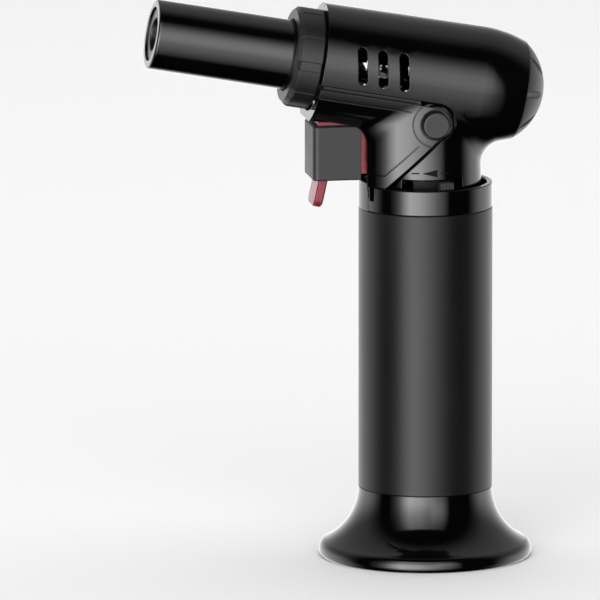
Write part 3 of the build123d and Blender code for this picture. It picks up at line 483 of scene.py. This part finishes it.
def sky_profile(angle, stops):
    """Brightness over an angle in degrees, given as stops between -90 and 90."""
    scaled = sky_math("MULTIPLY_ADD", angle, 1 / pi, 0.5)
    ramp = sky_tree.nodes.new("ShaderNodeValToRGB")
    sky_tree.links.new(scaled, ramp.inputs["Fac"])
    elements = ramp.color_ramp.elements
    elements.remove(elements[1])
    for index, (degree, level) in enumerate(stops):
        place = degree / 180 + 0.5
        stop = elements[0] if index == 0 else elements.new(place)
        stop.position = place
        stop.color = (level, level, level, 1)
    return ramp.outputs["Color"]


seen_from = sky_tree.nodes.new("ShaderNodeTexCoord")
turned = sky_tree.nodes.new("ShaderNodeVectorRotate")
turned.rotation_type = "Z_AXIS"
turned.inputs["Angle"].default_value = -VIEW_AZIMUTH
sky_tree.links.new(seen_from.outputs["Generated"], turned.inputs["Vector"])
parts = sky_tree.nodes.new("ShaderNodeSeparateXYZ")
sky_tree.links.new(turned.outputs["Vector"], parts.inputs["Vector"])
side_way, depth, height = (parts.outputs[axis] for axis in "XYZ")
facing = sky_math("MULTIPLY", depth, -1.0)
azimuth_here = sky_math("ARCTAN2", side_way, facing)
elevation_here = sky_math("ARCSINE", height)
across = sky_profile(
    azimuth_here,
    (
        (-64, 0), (-54, 0.05), (-45, 0.2), (-36, 0.6), (-27, 1),
        (-9, 0.82), (8, 0.46), (20, 0.22), (31, 0.1), (41, 0),
    ),
)
upward = sky_profile(
    elevation_here,
    (
        (-62, 0), (-38, 0.24), (-21, 0.46), (-10, 0.62), (2, 0.6),
        (15, 0.42), (27, 0.3), (43, 0.2), (49, 0.16), (52, 0),
    ),
)
panel_level = 13.5
panel = sky_math("MULTIPLY", sky_math("MULTIPLY", across, upward), panel_level)
wing_across = sky_profile(azimuth_here, ((4, 0), (16, 1), (28, 0.9), (41, 0)))
wing_upward = sky_profile(
    elevation_here, ((-14, 0), (2, 0.7), (15, 1), (27, 0.75), (43, 0.26), (49, 0.2), (52, 0))
)
wing_level = 1.75
wing = sky_math("MULTIPLY", sky_math("MULTIPLY", wing_across, wing_upward), wing_level)
in_front = sky_math("GREATER_THAN", facing, 0.0)
panels = sky_math("MULTIPLY", sky_math("ADD", panel, wing), in_front)
behind = sky_range(facing, -0.38, 0.24, 1.0, 0.0)
room_level = sky_range(height, -0.12, 0.45, 1.6, 0.45)
above_floor = sky_range(height, -0.85, -0.45, 0.0, 1.0)
room = sky_math("MULTIPLY", sky_math("MULTIPLY", behind, room_level), above_floor)
light_here = sky_math("ADD", panels, room)
ray = sky_tree.nodes.new("ShaderNodeLightPath")
backdrop = sky_tree.nodes.new("ShaderNodeMix")
backdrop.inputs["B"].default_value = 1.0
sky_tree.links.new(ray.outputs["Is Camera Ray"], backdrop.inputs["Factor"])
sky_tree.links.new(light_here, backdrop.inputs["A"])
sky_tree.nodes["Background"].inputs["Color"].default_value = (1, 1, 1, 1)
sky_tree.links.new(backdrop.outputs["Result"], sky_tree.nodes["Background"].inputs["Strength"])

lamp = bpy.data.lights.new("overhead", "AREA")
lamp.shape = "DISK"
lamp.size = 2.4
lamp.energy = 34.0
overhead = bpy.data.objects.new("overhead", lamp)
bpy.context.scene.collection.objects.link(overhead)
overhead.location = (0.1, 0.4, 2.2)
overhead.visible_glossy = False
overhead.visible_camera = False

# --- Camera -----------------------------------------------------------------------------------
# Very long lens from far off, aimed near mid height, turned a little to the nozzle's end and
# looking down slightly.
lens = 1000.0
sensor = 36.0
frame_width = 0.19157
look_at = Vector((-0.0407, 0.0, 0.0838))
azimuth = VIEW_AZIMUTH
elevation = radians(10.3)
distance = frame_width * lens / sensor
camera_data = bpy.data.cameras.new("camera")
camera_data.lens = lens
camera_data.sensor_width = sensor
camera_data.clip_start = 0.01
camera = bpy.data.objects.new("camera", camera_data)
bpy.context.scene.collection.objects.link(camera)
offset = Vector((sin(azimuth) * cos(elevation), -cos(azimuth) * cos(elevation), sin(elevation)))
camera.location = look_at + offset * distance
camera.rotation_euler = (-offset).to_track_quat("-Z", "Y").to_euler()
bpy.context.scene.camera = camera
bpy.context.scene.view_settings.view_transform = "Standard"
